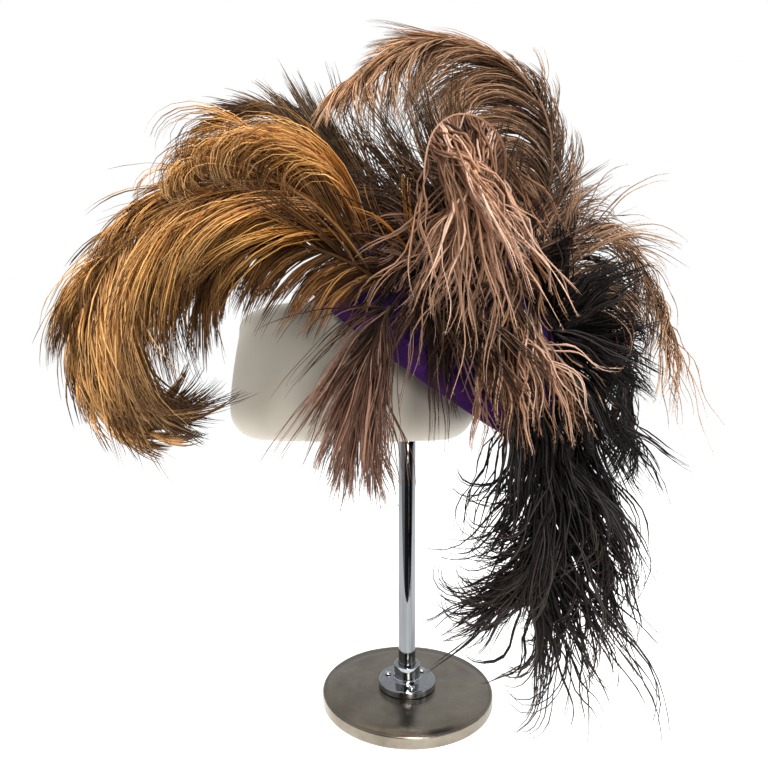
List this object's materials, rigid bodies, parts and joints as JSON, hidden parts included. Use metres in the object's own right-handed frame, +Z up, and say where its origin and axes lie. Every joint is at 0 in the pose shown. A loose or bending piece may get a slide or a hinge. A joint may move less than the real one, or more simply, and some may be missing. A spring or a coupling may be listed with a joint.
{
  "type": "calot hat with ostrich plumes on a display stand",
  "caption": "Deep oval velvet calot trimmed with curling ostrich plumes, resting on a plain frosted stand top with a chrome post and a round steel base",
  "frame": {"origin": "centre of the base's underside, on the surface that the stand rests on", "axes": "+Z up along the post, +X to the right and -Y towards the front, where the plumes are sewn"},
  "size_m": [0.5349, 0.2787, 0.6179],
  "materials": {
    "base_steel": "fine brushed, faintly stained",
    "stand_chrome": "polished",
    "screw_chrome": "polished",
    "form_frosted": "frosted white",
    "crown_velvet": "deep purple velvet",
    "band_velvet": "red-purple velvet",
    "golden_barbs": "silky ostrich barbs",
    "tan_barbs": "silky ostrich barbs",
    "brown_barbs": "silky ostrich barbs",
    "dark_brown_barbs": "silky ostrich barbs",
    "pale_barbs": "frizzy ostrich barbs",
    "grey_barbs": "silky ostrich barbs",
    "black_barbs": "silky ostrich barbs"
  },
  "bodies": {
    "root": {"base": "base_steel", "flange": "stand_chrome", "screw_1": "screw_chrome", "screw_2": "screw_chrome", "screw_3": "screw_chrome", "pole": "stand_chrome", "form": "form_frosted", "crown": "crown_velvet", "rim_band": "band_velvet", "plume_golden": "golden_barbs", "plume_arch": "tan_barbs", "plume_black_lower": "black_barbs", "plume_black_upper": "black_barbs", "plume_front": "pale_barbs", "plume_under": "brown_barbs", "plume_grey": "grey_barbs", "plume_tassel": "dark_brown_barbs", "plume_right": "tan_barbs"}
  },
  "joints": []
}
